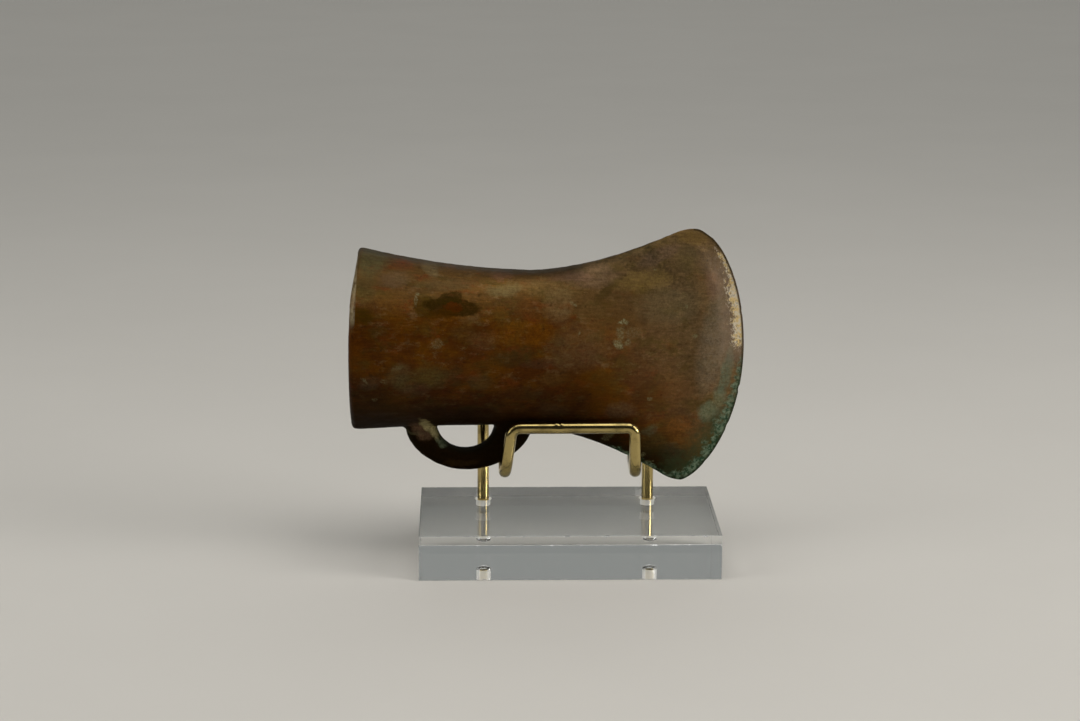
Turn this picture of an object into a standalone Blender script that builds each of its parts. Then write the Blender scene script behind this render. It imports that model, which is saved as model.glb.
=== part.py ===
"""A looped socketed axe of cast bronze, lying in a brass wire cradle whose posts stand in a clear acrylic block.

Metres, +Z up. The ground is at Z = 0, and the origin is below the middle of the whole object. The axe points
along +X, mouth to the left, its loop underneath.
"""

import collections
import math

import bmesh
import bpy
from mathutils import Vector

TOUCHING_GAP = 0.0003

# The acrylic block.
BASE_LENGTH = 0.080
BASE_DEPTH = 0.050
BASE_HEIGHT = 0.012
BASE_MIDDLE_X = 0.0058
BASE_EDGE = 0.0003
HOLE_DEPTH = 0.0080

# The brass wire and its cradle. Offsets along X are from the block's middle.
WIRE_RADIUS = 0.0016
POST_OFFSETS = (-0.0228, 0.0225)
POST_Y = 0.0130
BACK_TOP_Z = 0.0600
ELBOW_OFFSETS = (-0.0171, 0.0180)
BAR_OFFSETS = (-0.0152, 0.0177)
FRONT_Y = -0.0075
ARM_Z = 0.0249
ELBOW_Z = 0.0238
ARM_KNEE_Y = 0.0080
BAR_Z = 0.0370
BACK_BEND = 0.0050
ARM_BEND = 0.0030
ELBOW_BEND = 0.0040
BAR_BENDS = (0.0026, 0.0020)
BRAZE_RADIUS = 0.0022
WIRE_SIDES = 12
BEND_STEPS = 6

# The axe lies tilted, its cutting edge a little lower than its mouth.
AXE_MOUTH = (-0.05227, -0.0009, 0.0602)
AXE_TILT = math.radians(2.6)

# The axe's outline: heights above and below its axis at the mouth, the waist and the blade's corners.
Side = collections.namedtuple("Side", "mouth waist corner waist_at mouth_power flare_power edge_power")
TOP = Side(0.0249, 0.02045, 0.0337, 0.046, 2.1, 1.65, 1.77)
FOOT = Side(0.0247, 0.0216, 0.0353, 0.045, 1.4, 1.90, 1.46)
CORNER_AT = 0.0903
CORNER_ROUND = 0.0055
EDGE_REACH = 0.0150
EDGE_REACH_POWER = 3.0
MOUTH_BOW = 0.0009
MOUTH_SETBACK = 0.00045
MOUTH_SLANT = 0.0125

# The axe's thickness, as half of it, and how full its sections are: 2 is an ellipse.
MOUTH_HALF_THICKNESS = 0.0165
BEVEL_HALF_THICKNESS = 0.0009
EDGE_HALF_THICKNESS = 0.00025
TAPER_POWER = 1.3
BEVEL_FROM = 0.95
MOUTH_FULLNESS = 2.0
BLADE_FULLNESS = 2.6
LIP_RADIUS = 0.0017
LIP_STEPS = 4
BODY_RINGS = 30
BODY_SIDES = 44

# The socket: half sizes at the mouth and at its bottom.
SOCKET_DEPTH = 0.070
SOCKET_MOUTH_HEIGHT = 0.0211
SOCKET_MOUTH_HALF_THICKNESS = 0.0137
SOCKET_BOTTOM_HEIGHT = 0.0120
SOCKET_BOTTOM_HALF_THICKNESS = 0.0026
SOCKET_END_ROUND = 0.006
SOCKET_LIP = 0.0004
SOCKET_RINGS = 9
SOCKET_SIDES = 36

# The loop is the strap between two half ovals below the body.
LOOP_MIDDLE_AT = 0.0315
LOOP_TOP_Z = -0.0218
LOOP_OUTER = (0.0162, 0.0180, 0.0126)
LOOP_INNER = (0.0078, 0.0078, 0.0072)
LOOP_OUTER_POWERS = (2.0, 1.7)
LOOP_WIDTH = 0.0078
LOOP_ROOT_WIDTH = 0.0086
LOOP_FULLNESS = 2.8
LOOP_ROOT_DEPTH = 0.0040
LOOP_STEPS = 20
LOOP_SIDES = 16


def clear_scene():
    for item in list(bpy.data.objects):
        bpy.data.objects.remove(item, do_unlink=True)


def mix(low, high, share):
    return low + (high - low) * share


def smoothstep(share):
    share = min(max(share, 0.0), 1.0)
    return share * share * (3.0 - 2.0 * share)


def signed_power(value, power):
    return math.copysign(abs(value) ** power, value)


def new_material(name, color, metallic, roughness, transmission=0.0, ior=1.5):
    material = bpy.data.materials.new(name)
    material.use_nodes = True
    shader = material.node_tree.nodes["Principled BSDF"]
    shader.inputs["Base Color"].default_value = (*color, 1.0)
    shader.inputs["Metallic"].default_value = metallic
    shader.inputs["Roughness"].default_value = roughness
    shader.inputs["Transmission Weight"].default_value = transmission
    shader.inputs["IOR"].default_value = ior
    return material


def object_from(builder, name, material=None):
    """An object whose mesh the builder fills in."""
    mesh = bpy.data.meshes.new(name)
    shape = bmesh.new()
    builder(shape)
    bmesh.ops.recalc_face_normals(shape, faces=shape.faces)
    shape.to_mesh(mesh)
    shape.free()
    item = bpy.data.objects.new(name, mesh)
    bpy.context.scene.collection.objects.link(item)
    if material:
        mesh.materials.append(material)
        mesh.shade_smooth()
        mesh.set_sharp_from_angle(angle=math.radians(40))
    return item


def use_as_tool(item):
    item.hide_render = True
    item.display_type = "WIRE"
    item.hide_set(True)


def combine(item, tool, operation):
    modifier = item.modifiers.new(f"{operation.lower()}_{tool.name}", "BOOLEAN")
    modifier.operation = operation
    modifier.object = tool
    modifier.solver = "EXACT"
    use_as_tool(tool)


def join_rings(shape, rings):
    """Faces between neighbouring rings of the same number of points."""
    for ring, after in zip(rings, rings[1:]):
        for k in range(len(ring)):
            n = (k + 1) % len(ring)
            shape.faces.new((ring[k], ring[n], after[n], after[k]))


# The acrylic block.


def build_block(shape):
    bmesh.ops.create_cube(shape, size=1.0)
    bmesh.ops.scale(shape, vec=(BASE_LENGTH, BASE_DEPTH, BASE_HEIGHT), verts=shape.verts)
    bmesh.ops.translate(shape, vec=(0.0, 0.0, BASE_HEIGHT / 2), verts=shape.verts)
    bmesh.ops.bevel(shape, geom=shape.edges[:], offset=BASE_EDGE, segments=1, affect="EDGES")


def build_hole(shape):
    length = 2 * (HOLE_DEPTH + TOUCHING_GAP)
    radius = WIRE_RADIUS + TOUCHING_GAP
    bmesh.ops.create_cone(shape, segments=20, radius1=radius, radius2=radius, depth=length, cap_ends=True)


def make_base(material):
    base = object_from(build_block, "acrylic_base", material)
    base.location.x = BASE_MIDDLE_X
    for offset in POST_OFFSETS:
        hole = object_from(build_hole, "post_hole")
        hole.location = (BASE_MIDDLE_X + offset, POST_Y, BASE_HEIGHT)
        combine(base, hole, "DIFFERENCE")
    return base


# The brass cradle.


def rounded_path(corners, bends):
    """The points of a path through corners, each inner one rounded by an arc of its bend's radius."""
    points = [corners[0]]
    for before, corner, after, radius in zip(corners, corners[1:], corners[2:], bends):
        back = (before - corner).normalized()
        ahead = (after - corner).normalized()
        half_angle = back.angle(ahead) / 2
        bisector = (back + ahead).normalized()
        centre = corner + bisector * (radius / math.sin(half_angle))
        start = corner + back * (radius / math.tan(half_angle)) - centre
        end = corner + ahead * (radius / math.tan(half_angle)) - centre
        for step in range(BEND_STEPS + 1):
            points.append(centre + start.slerp(end, step / BEND_STEPS) * radius)
    points.append(corners[-1])
    return points


def sweep_wire(shape, points):
    """A round wire along the points, with flat ends."""
    side = None
    rings = []
    for k, point in enumerate(points):
        before = points[max(k - 1, 0)]
        after = points[min(k + 1, len(points) - 1)]
        along = (after - before).normalized()
        if side is None:
            side = along.orthogonal()
        side = (side - along * side.dot(along)).normalized()
        up = along.cross(side)
        ring = []
        for n in range(WIRE_SIDES):
            turn = 2 * math.pi * n / WIRE_SIDES
            ring.append(shape.verts.new(point + (side * math.cos(turn) + up * math.sin(turn)) * WIRE_RADIUS))
        rings.append(ring)
    join_rings(shape, rings)
    shape.faces.new(rings[0])
    shape.faces.new(rings[-1][::-1])


def post_point(which, z):
    return Vector((POST_OFFSETS[which], POST_Y, z))


def back_corners():
    foot_z = BASE_HEIGHT - HOLE_DEPTH
    return [post_point(0, foot_z), post_point(0, BACK_TOP_Z), post_point(1, BACK_TOP_Z), post_point(1, foot_z)]


def front_corners():
    elbows = [Vector((offset, FRONT_Y, ELBOW_Z)) for offset in ELBOW_OFFSETS]
    bar_ends = [Vector((offset, FRONT_Y, BAR_Z)) for offset in BAR_OFFSETS]
    knees = [Vector((offset, ARM_KNEE_Y, ARM_Z)) for offset in ELBOW_OFFSETS]
    left = [post_point(0, ARM_Z), knees[0], elbows[0], bar_ends[0]]
    return left + [bar_ends[1], elbows[1], knees[1], post_point(1, ARM_Z)]


def build_back_frame(shape):
    sweep_wire(shape, rounded_path(back_corners(), [BACK_BEND, BACK_BEND]))


def build_front_frame(shape):
    bends = [ARM_BEND, ELBOW_BEND, *BAR_BENDS, ELBOW_BEND, ARM_BEND]
    sweep_wire(shape, rounded_path(front_corners(), bends))


def build_braze(shape):
    bmesh.ops.create_uvsphere(shape, u_segments=12, v_segments=8, radius=BRAZE_RADIUS)


def make_cradle(material):
    cradle = object_from(build_back_frame, "brass_cradle", material)
    cradle.location.x = BASE_MIDDLE_X
    front = object_from(build_front_frame, "front_frame")
    front.location.x = BASE_MIDDLE_X
    combine(cradle, front, "UNION")
    for which in (0, 1):
        braze = object_from(build_braze, "braze")
        braze.location = post_point(which, ARM_Z)
        braze.location.x += BASE_MIDDLE_X
        combine(cradle, braze, "UNION")
    return cradle


# The axe, in its own frame: X runs from the mouth to the edge, Z across the blade.


def side_height(side, at):
    """How far the outline stands from the axis at a distance from the mouth."""
    flare_length = CORNER_AT - side.waist_at
    corner_share = side.flare_power * CORNER_ROUND / (2 * flare_length)
    flare = (side.corner - side.waist) / (1 - corner_share)
    height = side.waist
    height += (side.mouth - side.waist) * max(0.0, 1 - at / side.waist_at) ** side.mouth_power
    height += flare * max(0.0, (at - side.waist_at) / flare_length) ** side.flare_power
    into_corner = max(0.0, (at - CORNER_AT + CORNER_ROUND) / CORNER_ROUND)
    return height - flare * corner_share * into_corner**2


def half_thickness(along):
    """Half the body's thickness, where along is 0 at the mouth and 1 at the cutting edge."""
    body = mix(MOUTH_HALF_THICKNESS, BEVEL_HALF_THICKNESS, along**TAPER_POWER)
    return mix(body, EDGE_HALF_THICKNESS, max(0.0, (along - BEVEL_FROM) / (1 - BEVEL_FROM)))


def body_point(along, turn, inset=0.0):
    """A point of the body's outside. turn goes round the section from its top, inset shrinks the section."""
    fullness = mix(MOUTH_FULLNESS, BLADE_FULLNESS, smoothstep(along))
    across = signed_power(math.cos(turn), 2 / fullness)
    out = signed_power(math.sin(turn), 2 / fullness)
    at = along * CORNER_AT
    top = side_height(TOP, at) - inset
    foot = inset - side_height(FOOT, at)
    edge_power = TOP.edge_power if across > 0 else FOOT.edge_power
    bow = max(0.0, 1 - across * across)
    at += EDGE_REACH * along**EDGE_REACH_POWER * bow ** (1 / edge_power)
    height = mix(foot, top, (across + 1) / 2)
    at += (MOUTH_SETBACK - MOUTH_SLANT * height - MOUTH_BOW * bow) * (1 - along) ** 4
    return Vector((at, (half_thickness(along) - inset) * out, height))


def build_body(shape):
    turns = [2 * math.pi * k / BODY_SIDES for k in range(BODY_SIDES)]
    rings = []
    for step in range(LIP_STEPS):
        bend = math.pi / 2 * step / LIP_STEPS
        inset = LIP_RADIUS * (1 - math.sin(bend))
        back = Vector((LIP_RADIUS * (1 - math.cos(bend)), 0.0, 0.0))
        rings.append([shape.verts.new(body_point(0.0, turn, inset) + back) for turn in turns])
    first = LIP_RADIUS / CORNER_AT
    for step in range(BODY_RINGS):
        along = mix(first, 1.0, 1 - (1 - step / (BODY_RINGS - 1)) ** 1.25)
        rings.append([shape.verts.new(body_point(along, turn)) for turn in turns])
    join_rings(shape, rings)
    shape.faces.new(rings[0])
    close_edge(shape, rings[-1])


def close_edge(shape, ring):
    """The narrow strip of the cutting edge, between the ring's near and far sides."""
    half = len(ring) // 2
    shape.faces.new((ring[0], ring[1], ring[-1]))
    for k in range(1, half - 1):
        shape.faces.new((ring[k], ring[k + 1], ring[-k - 1], ring[-k]))
    shape.faces.new((ring[half - 1], ring[half], ring[half + 1]))


def build_socket(shape):
    """The hollow: it narrows evenly to a rounded wedge, and opens out a little at the lip."""
    rings = []
    for step in range(SOCKET_RINGS + 1):
        share = 1 - (1 - step / SOCKET_RINGS) ** 1.3
        at = mix(0.0, SOCKET_DEPTH, share)
        into_end = max(0.0, (at - SOCKET_DEPTH + SOCKET_END_ROUND) / SOCKET_END_ROUND)
        closing = math.sqrt(max(0.0, 1 - into_end**2)) * 0.75 + 0.25
        height = mix(SOCKET_MOUTH_HEIGHT, SOCKET_BOTTOM_HEIGHT, share) * closing
        thickness = mix(SOCKET_MOUTH_HALF_THICKNESS, SOCKET_BOTTOM_HALF_THICKNESS, share) * closing
        if step == 0:
            for outward in (-0.003, 0.0):
                rings.append(oval_ring(shape, outward, height + SOCKET_LIP, thickness + SOCKET_LIP))
            at = 2 * SOCKET_LIP
        rings.append(oval_ring(shape, at, height, thickness))
    join_rings(shape, rings)
    shape.faces.new(rings[0])
    shape.faces.new(rings[-1])


def oval_ring(shape, at, height, thickness):
    turns = [2 * math.pi * k / SOCKET_SIDES for k in range(SOCKET_SIDES)]
    return [shape.verts.new((at, thickness * math.sin(turn), height * math.cos(turn))) for turn in turns]


def loop_oval(turn, sizes, powers):
    """A point of a half oval that hangs below LOOP_TOP_Z: turn is 0 at its mouth end, pi at its blade end."""
    before, after, depth = sizes
    across = -math.cos(turn)
    length, power = (before, powers[0]) if across < 0 else (after, powers[1])
    drop = max(0.0, 1 - across * across) ** (1 / power)
    return Vector((LOOP_MIDDLE_AT + length * across, 0.0, LOOP_TOP_Z - depth * drop))


def build_loop(shape):
    rings = []
    for step in range(-1, LOOP_STEPS + 2):
        turn = math.pi * min(max(step / LOOP_STEPS, 0.0), 1.0)
        outer = loop_oval(turn, LOOP_OUTER, LOOP_OUTER_POWERS)
        inner = loop_oval(turn, LOOP_INNER, (2.0, 2.0))
        if step in (-1, LOOP_STEPS + 1):
            outer.z += LOOP_ROOT_DEPTH
            inner.z += LOOP_ROOT_DEPTH
        middle = (outer + inner) / 2
        out = (outer - inner) / 2
        width = mix(LOOP_ROOT_WIDTH, LOOP_WIDTH, smoothstep(2 * math.sin(turn)))
        ring = []
        for k in range(LOOP_SIDES):
            around = 2 * math.pi * k / LOOP_SIDES
            depth = signed_power(math.cos(around), 2 / LOOP_FULLNESS)
            side = signed_power(math.sin(around), 2 / LOOP_FULLNESS)
            ring.append(shape.verts.new(middle + out * depth + Vector((0.0, side * width / 2, 0.0))))
        rings.append(ring)
    join_rings(shape, rings)
    shape.faces.new(rings[0])
    shape.faces.new(rings[-1])


def make_axe(material):
    axe = object_from(build_body, "socketed_axe", material)
    loop = object_from(build_loop, "loop")
    socket = object_from(build_socket, "socket")
    for item in (axe, loop, socket):
        item.location = AXE_MOUTH
        item.rotation_euler = (0.0, AXE_TILT, 0.0)
    combine(axe, loop, "UNION")
    combine(axe, socket, "DIFFERENCE")
    return axe


def main():
    clear_scene()
    make_base(new_material("clear_acrylic", (0.93, 0.96, 0.95), 0.0, 0.03, transmission=1.0, ior=1.49))
    make_cradle(new_material("polished_brass", (0.72, 0.54, 0.22), 1.0, 0.18))
    make_axe(new_material("patinated_bronze", (0.10, 0.055, 0.02), 0.7, 0.45))


main()
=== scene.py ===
"""A looped socketed bronze axe in its brass wire cradle on a clear acrylic block, on a pale studio floor.

Everything is in metres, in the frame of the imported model. The axe is made in its own frame, where X runs from
the mouth to the cutting edge and Z across the blade, and is then laid, tilted, in its cradle.
"""

import collections
import math

import bmesh
import bpy
import numpy as np
from mathutils import Matrix, Vector, kdtree, noise

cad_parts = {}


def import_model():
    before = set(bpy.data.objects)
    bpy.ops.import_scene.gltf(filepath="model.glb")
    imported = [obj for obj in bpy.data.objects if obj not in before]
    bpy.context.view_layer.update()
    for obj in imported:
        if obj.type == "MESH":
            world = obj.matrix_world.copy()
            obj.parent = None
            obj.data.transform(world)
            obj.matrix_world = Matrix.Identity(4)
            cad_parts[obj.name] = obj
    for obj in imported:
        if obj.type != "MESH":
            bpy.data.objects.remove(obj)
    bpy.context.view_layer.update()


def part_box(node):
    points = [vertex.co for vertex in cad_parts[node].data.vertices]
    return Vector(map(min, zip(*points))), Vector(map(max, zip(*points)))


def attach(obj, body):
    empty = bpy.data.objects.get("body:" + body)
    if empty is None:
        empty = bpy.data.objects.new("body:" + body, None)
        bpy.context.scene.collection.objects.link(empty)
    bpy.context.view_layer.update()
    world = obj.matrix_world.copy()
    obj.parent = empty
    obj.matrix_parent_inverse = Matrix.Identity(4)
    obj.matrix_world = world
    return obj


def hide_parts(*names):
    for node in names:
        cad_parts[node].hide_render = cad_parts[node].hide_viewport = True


MM = 0.001
INNER_CORNER_TURN = math.radians(25)

# The camera: where it stands, how it is turned, and its lens.
CAMERA_PLACE = (-0.0205, -0.7249, 0.2135)
CAMERA_YAW = math.radians(1.48)
CAMERA_PITCH = math.radians(12.42)
CAMERA_ROLL = math.radians(0.17)
CAMERA_LENS = 92.2
SENSOR_WIDTH = 36.0

# The studio. Each lamp has a place, what it points at, its size, power in watts and colour.
FLOOR_RADIUS = 8.0
FLOOR_GAP = 0.00005
MIDDLE = (0.0, 0.0, 0.045)
LAMPS = (
    ("overhead", (0.0, -0.22, 0.88), MIDDLE, (0.90, 0.60), 3.4, (1.0, 0.985, 0.96)),
    ("far_floor", (0.0, 1.7, 1.2), (0.0, 1.7, 0.0), (3.2, 1.6), 7.0, (1.0, 0.99, 0.97)),
    ("left_side", (-0.80, -0.30, 0.50), MIDDLE, (0.55, 0.60), 1.8, (1.0, 0.99, 0.97)),
    ("right_side", (0.80, -0.34, 0.55), MIDDLE, (0.44, 0.60), 2.2, (1.0, 0.98, 0.95)),
    ("right_strip", (0.80, -0.33, 0.27), MIDDLE, (0.40, 0.15), 1.9, (1.0, 0.98, 0.95)),
)

# The acrylic block.
BASE_EDGE = 0.00007
CHIP_LEVEL = 0.36
CHIP_GROWTH = 7.0
CHIP_WAVES = (700, 2300)
EDGE_SEGMENTS = 3
EDGE_CUTS = 300
FLAT_FACE_AREA = 20e-6
HOLE_DEPTH = 0.0080
HOLE_CLEARANCE = 0.00035
HOLE_CHAMFER = 0.0004
HOLE_SIDES = 40
HOLE_CLEAR_FOOT = 0.0005
HOLE_TIP = 0.35
CUT_OVERLAP = 0.0001

# The brass wire and its cradle. Offsets along X are from the block's middle.
WIRE_RADIUS = 0.0016
POST_OFFSETS = (-0.0228, 0.0225)
POST_Y = 0.0130
BACK_TOP_Z = 0.0600
ELBOW_OFFSETS = (-0.0171, 0.0180)
BAR_OFFSETS = (-0.0152, 0.0177)
FRONT_Y = -0.0075
ARM_Z = 0.0249
ELBOW_Z = 0.0238
ARM_KNEE_Y = 0.0080
BAR_Z = 0.0370
BACK_BEND = 0.0050
ARM_BEND = 0.0030
ELBOW_BEND = 0.0040
BAR_BENDS = (0.0026, 0.0020)
BRAZE_RADIUS = 0.0022
BURR_RADIUS = 0.0005
BURR_SHAPE = (0.5, 1.5, 0.5)
BURR_TURN = (math.radians(40), 0.0, math.radians(-35))
BURR_OFFSETS = (-0.0034, -0.0020)
BURR_LIFT = (0.62 * WIRE_RADIUS, 0.76 * WIRE_RADIUS)
WIRE_END = 0.86
WIRE_FILLET = 0.0007
WIRE_SIDES = 28
WIRE_STEP = 0.0006
BEND_STEPS = 20

# The axe lies tilted, its cutting edge a little lower than its mouth.
AXE_MOUTH = (-0.05227, -0.0009, 0.0602)
AXE_TILT = math.radians(2.6)

# The axe's outline: heights above and below its axis at the mouth, the waist and the blade's corners.
Side = collections.namedtuple("Side", "mouth waist corner waist_at mouth_power flare_power edge_power")
TOP = Side(0.0249, 0.02045, 0.0337, 0.046, 2.1, 1.65, 1.77)
FOOT = Side(0.0247, 0.0216, 0.0353, 0.045, 1.4, 1.90, 1.46)
CORNER_AT = 0.0903
CORNER_ROUND = 0.0055
EDGE_REACH = 0.0149
EDGE_REACH_POWER = 3.0
MOUTH_BOW = 0.0009
MOUTH_SETBACK = 0.00045
MOUTH_SLANT = 0.0125

# The axe's thickness, as half of it, and how full its sections are: 2 is an ellipse.
MOUTH_HALF_THICKNESS = 0.0165
BEVEL_HALF_THICKNESS = 0.0009
EDGE_HALF_THICKNESS = 0.00025
TAPER_POWER = 1.3
BEVEL_FROM = 0.95
MOUTH_FULLNESS = 2.0
BLADE_FULLNESS = 2.6
LIP_RADIUS = 0.0017
LIP_STEPS = 10
BODY_RINGS = 180
BODY_SIDES = 296

# The socket: half sizes at the mouth and at its bottom.
SOCKET_DEPTH = 0.070
SOCKET_MOUTH_HEIGHT = 0.0211
SOCKET_MOUTH_HALF_THICKNESS = 0.0137
SOCKET_BOTTOM_HEIGHT = 0.0120
SOCKET_BOTTOM_HALF_THICKNESS = 0.0026
SOCKET_END_ROUND = 0.006
SOCKET_LIP = 0.0004
SOCKET_RINGS = 52

# The loop is the strap between two half ovals below the body.
LOOP_MIDDLE_AT = 0.0315
LOOP_TOP_Z = -0.0218
LOOP_OUTER = (0.0162, 0.0180, 0.0126)
LOOP_INNER = (0.0078, 0.0078, 0.0072)
LOOP_OUTER_POWERS = (2.0, 1.7)
LOOP_WIDTH = 0.0078
LOOP_ROOT_WIDTH = 0.0086
LOOP_FULLNESS = 2.8
LOOP_ROOT_DEPTH = 0.0040
LOOP_STEPS = 90
LOOP_SIDES = 56

# Relief on the bronze.
SEAM_HEIGHT = 0.00018
SEAM_WIDTH = 0.0009
SEAM_LUMP_SIZE = 0.006
SEAM_FADE = 0.020
SWELL = 0.00012
SWELL_SIZE = 0.014
CRUST = 0.00007
CRUST_SIZE = 0.0022
RELIEF_FADE = 0.006
RIM = 0.001
NICK_DEPTH = 0.00035
NICK_SIZE = 0.0026
NICK_REACH = 0.004
MOUTH_WEAR = 0.0009
MOUTH_LOWER_WEAR = 0.0004
MOUTH_WEAR_REACH = 0.014
LOOP_FILLET = 0.0010
EDGE_STEPS = 400


def mix(low, high, share):
    return low + (high - low) * share


def smoothstep(share):
    share = min(max(share, 0.0), 1.0)
    return share * share * (3.0 - 2.0 * share)


def signed_power(value, power):
    return math.copysign(abs(value) ** power, value)


def srgb(*channels):
    """A colour given as 0 to 255 on a screen, as the linear values that shaders take."""
    return tuple(((c / 255 + 0.055) / 1.055) ** 2.4 if c > 10 else c / 255 / 12.92 for c in channels)


# Node trees.


class Shader:
    """A material under construction. Each method adds a node and returns the socket it gives."""

    def __init__(self, name, **plain):
        self.material = bpy.data.materials.new(name)
        self.material.use_nodes = True
        self.tree = self.material.node_tree
        self.surface = self.tree.nodes["Principled BSDF"]
        for socket, value in plain.items():
            self.surface.inputs[socket.replace("_", " ")].default_value = value

    def add(self, kind, inputs, **settings):
        node = self.tree.nodes.new(kind)
        for key, value in settings.items():
            setattr(node, key, value)
        for key, value in inputs.items():
            self.put(node.inputs[key], value)
        return node

    def put(self, socket, value):
        if isinstance(value, bpy.types.NodeSocket):
            self.tree.links.new(value, socket)
        elif isinstance(value, tuple) and len(value) == 3 and socket.type == "RGBA":
            socket.default_value = (*value, 1.0)
        else:
            socket.default_value = value

    def give(self, **sockets):
        for name, value in sockets.items():
            self.put(self.surface.inputs[name.replace("_", " ")], value)

    def place(self, origin=(0.0, 0.0, 0.0), tilt=0.0):
        """Where a point is, in millimetres of a frame at origin that is tilted about Y."""
        spot = self.add("ShaderNodeTexCoord", {}).outputs["Object"]
        names = {"Vector": spot, "Location": origin, "Rotation": (0.0, tilt, 0.0), "Scale": (MM, MM, MM)}
        return self.add("ShaderNodeMapping", names, vector_type="TEXTURE").outputs["Vector"]

    def attribute(self, name):
        return self.add("ShaderNodeAttribute", {}, attribute_name=name).outputs["Fac"]

    def parts(self, vector):
        return self.add("ShaderNodeSeparateXYZ", {"Vector": vector}).outputs

    def vector(self, operation, first, second=(0.0, 0.0, 0.0), **more):
        names = {0: first, 1: second, **more}
        return self.add("ShaderNodeVectorMath", names, operation=operation).outputs["Vector"]

    def math(self, operation, first, second=0.0):
        return self.add("ShaderNodeMath", {0: first, 1: second}, operation=operation).outputs[0]

    def times(self, first, *others):
        for other in others:
            first = self.math("MULTIPLY", first, other)
        return first

    def span(self, value, start, end, low=0.0, high=1.0):
        """Runs smoothly from low to high while value runs from start to end."""
        names = {"Value": value, "From Min": start, "From Max": end, "To Min": low, "To Max": high}
        return self.add("ShaderNodeMapRange", names, interpolation_type="SMOOTHSTEP").outputs["Result"]

    def window(self, value, start, end, soft):
        """1 between start and end, fading to 0 over soft on both sides."""
        rise = self.span(value, start - soft, start)
        return self.times(rise, self.span(value, end, end + soft, 1.0, 0.0))

    def fused(self, first, second, added):
        """First times second, plus added."""
        names = {0: first, 1: second, 2: added}
        return self.add("ShaderNodeMath", names, operation="MULTIPLY_ADD").outputs[0]

    def ellipse(self, along, up, middle, half_sizes, turn, soft):
        """1 inside an ellipse that is turned from along toward up, fading to 0 at its rim."""
        squares = 0.0
        for across, half in zip((turn, turn + math.pi / 2), half_sizes):
            part, rise = math.cos(across) / half, math.sin(across) / half
            reach = self.fused(along, part, -middle[0] * part - middle[1] * rise)
            reach = self.fused(up, rise, reach)
            squares = self.fused(reach, reach, squares)
        return self.span(squares, (1 - soft) ** 2, (1 + soft) ** 2, 1.0, 0.0)

    def unsettle(self, vector, size, amount, offset):
        """The vector, pushed about by up to half the amount in blots about size across."""
        moved = self.vector("ADD", vector, (offset, -offset, offset))
        names = {"Vector": moved, "Scale": 1 / size, "Detail": 3.0}
        push = self.add("ShaderNodeTexNoise", names).outputs["Color"]
        push = self.vector("SUBTRACT", push, (0.5, 0.5, 0.5))
        return self.vector("ADD", vector, self.vector("SCALE", push, Scale=amount))

    def noise(self, vector, size, detail=3.0, roughness=0.55, stretch=(1.0, 1.0, 1.0), offset=0.0):
        """Noise whose blots are about size across, in the vector's unit."""
        scale = tuple(1 / (size * s) for s in stretch)
        names = {"Vector": vector, "Location": (offset, offset * 0.7, -offset), "Scale": scale}
        spot = self.add("ShaderNodeMapping", names).outputs["Vector"]
        names = {"Vector": spot, "Scale": 1.0, "Detail": detail, "Roughness": roughness}
        return self.add("ShaderNodeTexNoise", names).outputs["Fac"]

    def cells(self, vector, size):
        """The distance to the nearest of points scattered about size apart, as a share of size."""
        return self.add("ShaderNodeTexVoronoi", {"Vector": vector, "Scale": 1 / size}).outputs["Distance"]

    def blend(self, share, first, second):
        """The first colour where share is 0, the second where it is 1."""
        return self.add("ShaderNodeMix", {"Factor": share, 6: first, 7: second}, data_type="RGBA").outputs[2]

    def shade(self, colour, factor):
        """The colour, made lighter or darker by a factor."""
        return self.add("ShaderNodeHueSaturation", {"Color": colour, "Value": factor}).outputs["Color"]

    def bump(self, height, distance, strength):
        names = {"Height": height, "Distance": distance, "Strength": strength}
        return self.add("ShaderNodeBump", names).outputs["Normal"]


# Mesh tools.


def object_from(builder, name, material):
    """An object whose mesh the builder fills in."""
    mesh = bpy.data.meshes.new(name)
    shape = bmesh.new()
    builder(shape)
    bmesh.ops.recalc_face_normals(shape, faces=shape.faces)
    shape.to_mesh(mesh)
    shape.free()
    mesh.materials.append(material)
    item = bpy.data.objects.new(name, mesh)
    bpy.context.scene.collection.objects.link(item)
    return item


def join_rings(shape, rings):
    """Faces between neighbouring rings of the same number of points."""
    for ring, after in zip(rings, rings[1:]):
        for k in range(len(ring)):
            n = (k + 1) % len(ring)
            shape.faces.new((ring[k], ring[n], after[n], after[k]))


def carve(item, tools, operation):
    """Applies Booleans with the tools, which are used up. A tool's material comes along with its faces."""
    for tool in tools:
        modifier = item.modifiers.new(tool.name, "BOOLEAN")
        modifier.operation = operation
        modifier.object = tool
        modifier.solver = "EXACT"
        modifier.material_mode = "TRANSFER"
    bpy.context.view_layer.update()
    graph = bpy.context.evaluated_depsgraph_get()
    done = bpy.data.meshes.new_from_object(item.evaluated_get(graph))
    item.modifiers.clear()
    item.data = done
    for tool in tools:
        bpy.data.objects.remove(tool)


def points_of(mesh):
    points = np.empty(len(mesh.vertices) * 3, np.float32)
    mesh.vertices.foreach_get("co", points)
    return points.reshape(-1, 3).astype(float)


def put_points(mesh, points):
    mesh.vertices.foreach_set("co", points.astype(np.float32).ravel())
    mesh.update()


def edges_of(mesh):
    ends = np.empty(len(mesh.edges) * 2, np.int32)
    mesh.edges.foreach_get("vertices", ends)
    return ends.reshape(-1, 2)


def inner_corner_points(mesh):
    """The points of the mesh's clearly concave edges."""
    shape = bmesh.new()
    shape.from_mesh(mesh)
    found = set()
    for edge in shape.edges:
        if len(edge.link_faces) == 2 and edge.calc_face_angle_signed(0.0) < -INNER_CORNER_TURN:
            found.update(v.index for v in edge.verts)
    shape.free()
    return sorted(found)


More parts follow.
